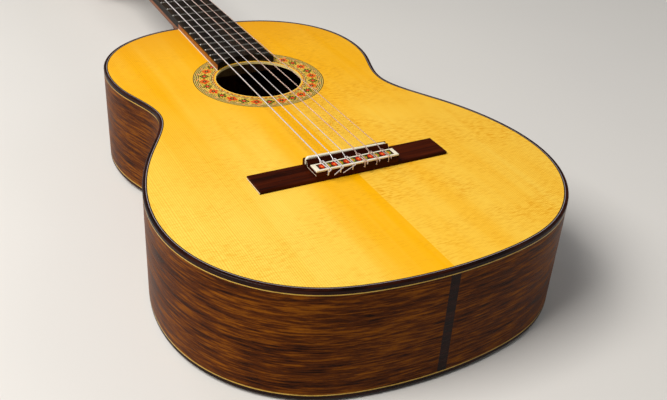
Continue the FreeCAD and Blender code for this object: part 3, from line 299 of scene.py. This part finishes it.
MATERIALS = {
    "spruce_bass": spruce("spruce_bass_lacquer", -1),
    "spruce_treble": spruce("spruce_treble_lacquer", 1),
    "rosewood_back": figured_wood("rosewood_back_gloss", (75, 3.5, 20), ROSEWOOD, coat=0.2, fine=0.35),
    "rosewood_ribs": figured_wood("rosewood_ribs_gloss", (12, 12, 150), ROSEWOOD, fine=0.68),
    "maple_inlay": figured_wood("maple_inlay_gloss", (40, 40, 40), MAPLE, coat=0.6),
    "rosewood_binding": figured_wood(
        "rosewood_binding_gloss", (12, 12, 160), BINDING_WOOD, rough=(0.28, 0.40), coat=0.10
    ),
    "purfling_lines": figured_wood("purfling_dark", (40, 40, 40), PURFLING),
    "cedar": figured_wood("cedar_satin", (110, 4.0, 110), CEDAR, (0.40, 0.52), 0.1),
    "inner_softwood": figured_wood("inner_softwood_bare", (90, 90, 90), BARE_SOFTWOOD, (0.55, 0.7)),
    "ebony": figured_wood("ebony_oiled", ALONG_Y, EBONY, SATIN, shine=0.08),
    "bridge_rosewood": figured_wood("bridge_rosewood_satin", (5.0, 150, 90), BRIDGE_WOOD, SATIN),
    "veneer_rosewood": figured_wood("veneer_rosewood_gloss", (170, 6.0, 60), ROSEWOOD, coat=0.2, fine=0.25),
    "fret_metal": brushed("fret_nickel", *NICKEL, (60, 2500, 2500), (0.20, 0.32)),
    "bone": speckled("bone_polished", *BONE, 130.0, (0.22, 0.34), Coat_Weight=0.3),
    "tie_mosaic": figured_wood("tie_mosaic_ground", (300, 60, 60), MOSAIC_GROUND),
    "rosette_mosaic": figured_wood("rosette_ground", (70, 70, 70), ROSETTE_GROUND),
    "gilt_plate": brushed("gilt_plate", *GILT, (1500, 60, 60), (0.16, 0.26)),
    "plated_screws": brushed("plated_screws", *SCREW_GILT, (1200, 1200, 1200), (0.18, 0.30)),
    "gear_brass": brushed("gear_brass", *BRASS, (1400, 1400, 200), (0.22, 0.36)),
    "worm_steel": brushed("worm_steel", *STEEL, (1400, 1400, 1400), (0.2, 0.34)),
    "wound_string": wound("wound_string_silver"),
    "nylon_string": nylon("nylon_string_clear"),
    "roller_white": speckled("roller_white", *ROLLER, 90.0, (0.25, 0.38)),
    "button_pearl": pearl("button_pearl"),
}


def paint_frame():
    """Give every CAD node the material of its slot in the record."""
    slot_of = {part["node"]: part["material_slot"] for part in frame["record"]["subparts"]}
    for name, node in frame["nodes"].items():
        material = MATERIALS[slot_of[name]]
        if not node.material_slots:
            node.data.materials.append(material)
        for slot in node.material_slots:
            slot.material = material


paint_frame()


# Mesh helpers -------------------------------------------------------------------------------------


def new_piece(name, vertices, faces, materials, face_materials, body="guitar_body"):
    """A mesh piece that rides on a body, with one of its materials on each face."""
    mesh = bpy.data.meshes.new(name)
    mesh.from_pydata([tuple(v) for v in vertices], [], faces)
    for material in materials:
        mesh.materials.append(material)
    for polygon, index in zip(mesh.polygons, face_materials, strict=True):
        polygon.material_index = index
    mesh.update()
    piece = bpy.data.objects.new(name, mesh)
    bpy.context.scene.collection.objects.link(piece)
    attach(piece, body)
    return piece


def tint(name, colour, other, scale=160.0):
    """A small stained-wood tile colour under lacquer."""
    gloss = {"Coat_Weight": 0.06, "Coat_Roughness": 0.12, "Specular_IOR_Level": 0.12}
    return speckled(name, colour, other, scale, (0.24, 0.34), **gloss)


INLAY = {
    "dark": tint("inlay_dark", (0.010, 0.006, 0.004), (0.022, 0.014, 0.010)),
    "cream": tint("inlay_cream", (0.82, 0.60, 0.16), (0.74, 0.50, 0.11)),
    "lilac": tint("inlay_lilac", (0.42, 0.37, 0.40), (0.34, 0.30, 0.33)),
    "red": tint("inlay_red", (0.80, 0.022, 0.002), (0.62, 0.012, 0.002)),
    "orange": tint("inlay_orange", (0.86, 0.20, 0.010), (0.74, 0.13, 0.006)),
    "green": tint("inlay_green", (0.010, 0.060, 0.004), (0.006, 0.034, 0.003)),
    "lime": tint("inlay_lime", (0.46, 0.42, 0.025), (0.30, 0.30, 0.020)),
    "olive": tint("inlay_olive", (0.15, 0.14, 0.018), (0.09, 0.09, 0.014)),
    "pink": tint("inlay_pink", (0.78, 0.34, 0.20), (0.68, 0.26, 0.15)),
    "bone": tint("inlay_bone", (0.84, 0.76, 0.62), (0.76, 0.66, 0.50)),
    # Orange-brown for the painted reflection on the fingerboard's sides.
    "orange_wood_reflection": tint("inlay_orange_wood", (0.34, 0.105, 0.006), (0.20, 0.050, 0.003), scale=300.0),
}
INLAY_NAMES = list(INLAY)
# The letters of FLOWER, an inlaid flower drawn in square cells.
PETAL, HEART, CORE = "F", "C", "c"
FLOWER = [
    "....FFF....",
    ".F..FFF..F.",
    "..FF.F.FF..",
    "..FFFCFFF..",
    "FF.FCCCF.FF",
    "FFFCCcCCFFF",
    "FF.FCCCF.FF",
    "..FFFCFFF..",
    "..FF.F.FF..",
    ".F..FFF..F.",
    "....FFF....",
]


class Tiles:
    """Flat inlay tiles collected into one mesh, each with one of the inlay colours."""

    def __init__(self):
        self.vertices, self.faces, self.colours = [], [], []

    def quad(self, corners, colour):
        first = len(self.vertices)
        self.vertices += corners
        self.faces.append(tuple(range(first, first + 4)))
        self.colours.append(INLAY_NAMES.index(colour))

    def build(self, name, slot):
        new_piece(name, self.vertices, self.faces, list(INLAY.values()), self.colours)


def polar(radius, angle):
    """A point of the rosette at a radius in mm and an angle about the soundhole's middle."""
    return HOLE + Vector((radius * math.cos(angle) * MM, radius * math.sin(angle) * MM, INLAY_LIFT))


# Inner and outer radius in mm, colours of the dashes, dash length in steps, and wave height in mm.
ROSETTE_RINGS = [
    (43.0, 43.3, ["orange", "cream"], 3, 0.0),
    (43.3, 44.0, ["dark", "dark", "pink"], 2, 0.0),
    (44.0, 44.9, ["cream", "cream", "orange"], 3, 0.0),
    (44.9, 45.6, ["dark", "dark", "green"], 3, 0.0),
    (45.6, 46.3, ["cream"], 1, 0.0),
    (46.3, 46.9, ["dark", "cream", "green", "dark"], 3, 0.0),
    (57.2, 58.0, ["dark", "dark", "pink", "dark"], 3, 0.0),
    (58.0, 58.8, ["cream"], 1, 0.0),
    (58.8, 59.6, ["dark", "green", "dark", "dark", "red"], 3, 0.2),
    (59.6, 60.4, ["cream"], 1, 0.2),
    (60.4, 61.2, ["dark", "dark", "green"], 3, 0.2),
    (61.2, 62.0, ["cream"], 1, 0.0),
    (62.0, 62.8, ["dark"], 1, 0.0),
]
RING_STEPS = 392
RING_WAVES = 56
FLOWER_COUNT = 28
FLOWER_RADIUS = 52.2
# Single square tiles between two flowers: radius in mm and colour.
BETWEEN_FLOWERS = [(47.4, "orange"), (48.6, "olive"), (52.2, "orange"), (55.4, "green"), (56.6, "pink")]
BETWEEN_HALF = 0.45


def arc_tile(tiles, inner, outer, start, end, colour, wave=0.0):
    """A tile between two radii in mm and two angles, with edges that may follow a wave."""
    a, b = wave * math.sin(RING_WAVES * start), wave * math.sin(RING_WAVES * end)
    corners = [polar(inner + a, start), polar(outer + a, start), polar(outer + b, end), polar(inner + b, end)]
    tiles.quad(corners, colour)


def add_flower(tiles, middle, cell, names):
    """A flower of the rosette at an angle, with cells of the given size in mm."""
    turn_step = cell * 1.15 / FLOWER_RADIUS
    for row, line in enumerate(FLOWER):
        for column, letter in enumerate(line):
            if letter in names:
                radius, turn = FLOWER_RADIUS + (row - 5) * cell, middle + (column - 5) * turn_step
                inner, outer = radius - cell / 2, radius + cell / 2
                arc_tile(tiles, inner, outer, turn - turn_step / 2, turn + turn_step / 2, names[letter])


def make_rosette():
    tiles = Tiles()
    for inner, outer, colours, run, wave in ROSETTE_RINGS:
        for i in range(RING_STEPS):
            start, end = 2 * math.pi * i / RING_STEPS, 2 * math.pi * (i + 1) / RING_STEPS
            arc_tile(tiles, inner, outer, start, end, colours[i // run % len(colours)], wave)
    for k in range(FLOWER_COUNT):
        middle = -math.pi / 2 + 2 * math.pi * k / FLOWER_COUNT
        if k % 2 == 0:
            add_flower(tiles, middle, 0.82, {PETAL: "red", HEART: "green", CORE: "cream"})
        else:
            add_flower(tiles, middle, 0.80, {PETAL: "green", HEART: "red", CORE: "pink"})
        gap, half = middle + math.pi / FLOWER_COUNT, BETWEEN_HALF / FLOWER_RADIUS
        for radius, colour in BETWEEN_FLOWERS:
            arc_tile(tiles, radius - BETWEEN_HALF, radius + BETWEEN_HALF, gap - half, gap + half, colour)
    tiles.build("rosette_inlay", "rosette_mosaic")


def boundary_loop(node, z):
    """The longest closed boundary of a CAD node's flat face at height z, as points in order."""
    mesh = bmesh.new()
    mesh.from_mesh(frame["nodes"][node].data)
    mesh.transform(frame["nodes"][node].matrix_world)
    bmesh.ops.remove_doubles(mesh, verts=mesh.verts, dist=1e-6)
    flat = dict.fromkeys(face for face in mesh.faces if all(abs(v.co.z - z) < 1e-5 for v in face.verts))
    links = {}
    for face in flat:
        for edge in face.edges:
            if sum(other in flat for other in edge.link_faces) == 1:
                a, b = edge.verts
                links.setdefault(a, []).append(b)
                links.setdefault(b, []).append(a)
    loops, left = [], dict.fromkeys(links)
    while left:
        start = next(iter(left))
        del left[start]
        loop, here = [start], start
        while True:
            onward = [v for v in links[here] if v in left]
            if not onward:
                break
            here = onward[0]
            del left[here]
            loop.append(here)
        loops.append([v.co.copy() for v in loop])
    mesh.free()
    return max(loops, key=lambda loop: sum((b - a).length for a, b in zip(loop, loop[1:])))


# Where each thin line of the purfling starts and ends, in mm from the binding inwards, and its colour.
PURFLING_STRIPS = [(0.0, 0.4, "dark"), (0.4, 0.75, "lilac"), (0.75, 1.6, "dark")]


def make_purfling():
    """Thin lines inside the binding, from the edge inwards."""
    loop = boundary_loop("top_purfling", TOP_Z)
    count = len(loop)
    area = sum(a.x * b.y - b.x * a.y for a, b in zip(loop, loop[1:] + loop[:1]))
    turn = 1.0 if area > 0 else -1.0
    inward = []
    for i in range(count):
        along = (loop[(i + 1) % count] - loop[i - 1]).normalized()
        inward.append(Vector((-along.y, along.x, 0)) * turn)
    tiles = Tiles()
    lift = Vector((0, 0, INLAY_LIFT))
    for start, end, colour in PURFLING_STRIPS:
        for i in range(count):
            j = (i + 1) % count
            corners = [
                loop[i] + inward[i] * start * MM + lift,
                loop[j] + inward[j] * start * MM + lift,
                loop[j] + inward[j] * end * MM + lift,
                loop[i] + inward[i] * end * MM + lift,
            ]
            tiles.quad(corners if turn > 0 else corners[::-1], colour)
    tiles.build("purfling_strips", "purfling_lines")


def make_tie_mosaic():
    """Small flowers in a dark strip on the tie block."""
    low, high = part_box("tie_block_mosaic")
    z = high.z + INLAY_LIFT
    middle_y, pitch, cell = (low.y + high.y) / 2, 5.5 * MM, 0.40 * MM
    half_x, half_y = cell / 2, cell * 0.75
    red = {PETAL: "red", HEART: "orange", CORE: "cream"}
    lime = {PETAL: "lime", HEART: "orange", CORE: "red"}
    tiles = Tiles()
    for k in range(12):
        names = red if k % 2 == 0 else lime
        for row, line in enumerate(FLOWER):
            for column, letter in enumerate(line):
                x = (k - 5.5) * pitch + (column - 5) * cell
                y = middle_y + (row - 5) * 2 * half_y
                colour = names.get(letter, "green" if (row + column) % 3 == 0 else "dark")
                corners = [
                    Vector((x - half_x, y - half_y, z)),
                    Vector((x + half_x, y - half_y, z)),
                    Vector((x + half_x, y + half_y, z)),
                    Vector((x - half_x, y + half_y, z)),
                ]
                tiles.quad(corners, colour)
    tiles.build("tie_mosaic_tiles", "tie_mosaic")


def on_top(x, y, z):
    """The point at x, y mm from the body joint and z mm above the soundboard."""
    return Vector((x * MM, JOINT_Y + y * MM, TOP_Z + z * MM))


# The bridge's half lengths in mm, its middle part's and its own.
BRIDGE_BLOCK_HALF = 37.5
BRIDGE_HALF = 85.4
# The painted highlight on the middle part's ends, a thin bone-coloured line, as y and z in mm: down the
# saddle block and along the channel.
BLOCK_HIGHLIGHT = [(-328.3, 10.3), (-330.3, 6.1), (-345.7, 6.1)]
BLOCK_HIGHLIGHT_WIDTH = 0.5 * MM
# The painted highlights on the wings' ends, thin bone-coloured lines, in mm.
WING_HIGHLIGHT_Y = (-345.8, -320.3)
WING_HIGHLIGHT_Z = (0.4, 1.5)


def make_bridge_highlights():
    """Painted highlights: thin light lines on the ends of the bridge's middle and wings, on both sides."""
    tiles = Tiles()
    for side in (-1, 1):
        x = side * (BRIDGE_BLOCK_HALF + PROUD)
        for start, end in zip(BLOCK_HIGHLIGHT, BLOCK_HIGHLIGHT[1:]):
            a, b = on_top(x, *start), on_top(x, *end)
            across = Vector((1, 0, 0)).cross(b - a).normalized() * BLOCK_HIGHLIGHT_WIDTH
            tiles.quad([a, b, b + across, a + across], "bone")
        x = side * (BRIDGE_HALF + PROUD)
        (near, far), (low, high) = WING_HIGHLIGHT_Y, WING_HIGHLIGHT_Z
        corners = [(near, low), (far, low), (far, high), (near, high)]
        tiles.quad([on_top(x, *corner) for corner in corners], "bone")
    tiles.build("bridge_end_highlights", "bone")


# The fingerboard in mm: its width at the body joint, how much narrower it is at the nut, and how far that is.
BOARD_WIDTH = 56.5
BOARD_TAPER = 8.0
BOARD_TO_NUT = 325.0
BOARD_OVER_BODY = 118.0
# The height in mm of the painted reflection on the fingerboard's sides, and the width of the light line at
# their foot.
SIDE_REFLECTION_Z = (0.1, 5.4)
FOOT_LINE_WIDTH = 0.9


def board_edge(y):
    """Half the fingerboard's width at y mm in front of the body joint."""
    return (BOARD_WIDTH - BOARD_TAPER * y / BOARD_TO_NUT) / 2


def make_board_edges():
    """Over the body, the fingerboard's sides get orange-brown rosewood-coloured facings, a painted reflection
    in their gloss. A light line runs along their foot, partly an inlaid line and partly a painted highlight
    where they meet the top.
    """
    faces, lines = Tiles(), Tiles()
    stations = [-i * BOARD_OVER_BODY / 12 for i in range(13)]
    low, high = SIDE_REFLECTION_Z
    for side in (-1, 1):
        out = side * FOOT_LINE_WIDTH
        for ya, yb in zip(stations, stations[1:]):
            xa, xb = (side * (board_edge(y) + PROUD) for y in (ya, yb))
            corners = [on_top(xa, ya, low), on_top(xb, yb, low), on_top(xb, yb, high), on_top(xa, ya, high)]
            # Painted reflection: an orange-brown facing on the fingerboard's glossy side.
            faces.quad(corners, "orange_wood_reflection")
            corners = [(xa, ya, PROUD), (xb, yb, PROUD), (xb + out, yb, PROUD), (xa + out, ya, PROUD)]
            # The foot line: partly a light line, partly a painted highlight where the side meets the top.
            lines.quad([on_top(*corner) for corner in corners], "bone")
    faces.build("fingerboard_side_reflections", "veneer_rosewood")
    lines.build("fingerboard_foot_lines_and_highlights", "bone")


make_rosette()
make_purfling()
make_tie_mosaic()
make_bridge_highlights()
make_board_edges()


# Camera -------------------------------------------------------------------------------------------


# The reference view: where the camera stands from the body joint and how it is turned.
CAMERA_PLACE = (-0.3194, -0.8663, 0.3511)
CAMERA_FORWARD = (0.4232, 0.7377, -0.526)
CAMERA_RIGHT = (0.8828, -0.4663, 0.0563)
FOCAL_RATIO = 880.0 / 667.0  # focal length over sensor width
SENSOR_WIDTH = 36.0


def make_camera():
    data = bpy.data.cameras.new("camera")
    data.sensor_width = SENSOR_WIDTH
    data.lens = FOCAL_RATIO * SENSOR_WIDTH
    data.clip_start = 0.05
    camera = bpy.data.objects.new("camera", data)
    x, y, z = CAMERA_PLACE
    place = Vector((x, y + JOINT_Y, z + TOP_Z))
    forward = Vector(CAMERA_FORWARD).normalized()
    right = Vector(CAMERA_RIGHT)
    right = (right - forward * right.dot(forward)).normalized()
    up = right.cross(forward)
    rotation = Matrix((right, up, -forward)).transposed()
    camera.matrix_world = Matrix.Translation(place) @ rotation.to_4x4()
    bpy.context.scene.collection.objects.link(camera)
    bpy.context.scene.camera = camera


make_camera()


# Light and floor ----------------------------------------------------------------------------------


def area_light(name, place, target, size, power, colour):
    """A soft box that points from one place to another."""
    data = bpy.data.lights.new(name, "AREA")
    data.shape = "RECTANGLE"
    data.size, data.size_y = size
    data.energy = power
    data.color = colour
    light = bpy.data.objects.new(name, data)
    place, target = Vector(place), Vector(target)
    facing = (target - place).to_track_quat("-Z", "Y").to_matrix().to_4x4()
    light.matrix_world = Matrix.Translation(place) @ facing
    bpy.context.scene.collection.objects.link(light)


FLOOR_HALF = 9
FLOOR_DROP = 0.5 * MM
WORLD_STRENGTH = 0.13


def make_studio():
    """A plain pale floor, a dim even surround and three soft lights."""
    n = Nodes("floor_pale")
    cloud = n.noise((1.4, 1.4, 1.4), 3.0, 0.5)
    fine = n.noise((260.0, 260.0, 260.0), 3.0, 0.6)
    colour = n.mix(n.grey(cloud, 0.3, 0.7), (0.74, 0.73, 0.71), (0.70, 0.69, 0.68))
    material = n.finish(colour, n.grey(fine, 0.3, 0.7, 0.55, 0.7), fine, 0.00005)
    mesh = bpy.data.meshes.new("floor")
    corners = [(x * FLOOR_HALF, y * FLOOR_HALF, 0) for x, y in ((-1, -1), (1, -1), (1, 1), (-1, 1))]
    mesh.from_pydata(corners, [], [(0, 1, 2, 3)])
    mesh.materials.append(material)
    floor = bpy.data.objects.new("floor", mesh)
    bpy.context.scene.collection.objects.link(floor)
    floor.location.z = -FLOOR_DROP
    world = bpy.data.worlds.new("studio")
    world.use_nodes = True
    background = world.node_tree.nodes["Background"]
    background.inputs["Color"].default_value = (1.0, 0.99, 0.97, 1.0)
    background.inputs["Strength"].default_value = WORLD_STRENGTH
    bpy.context.scene.world = world
    area_light("key", (-1.25, -0.35, 1.75), (0, -0.2, 0.1), (1.2, 1.2), 54.0, (1.0, 0.96, 0.90))
    area_light("fill", (1.9, -0.6, 1.3), (0, -0.1, 0.1), (1.6, 1.6), 8.0, (1.0, 0.99, 0.97))
    area_light("head", (-0.6, 1.9, 1.2), (0, 0.3, 0.1), (1.2, 1.0), 8.0, (1.0, 1.0, 1.0))


make_studio()
bpy.context.scene.view_settings.view_transform = "Standard"
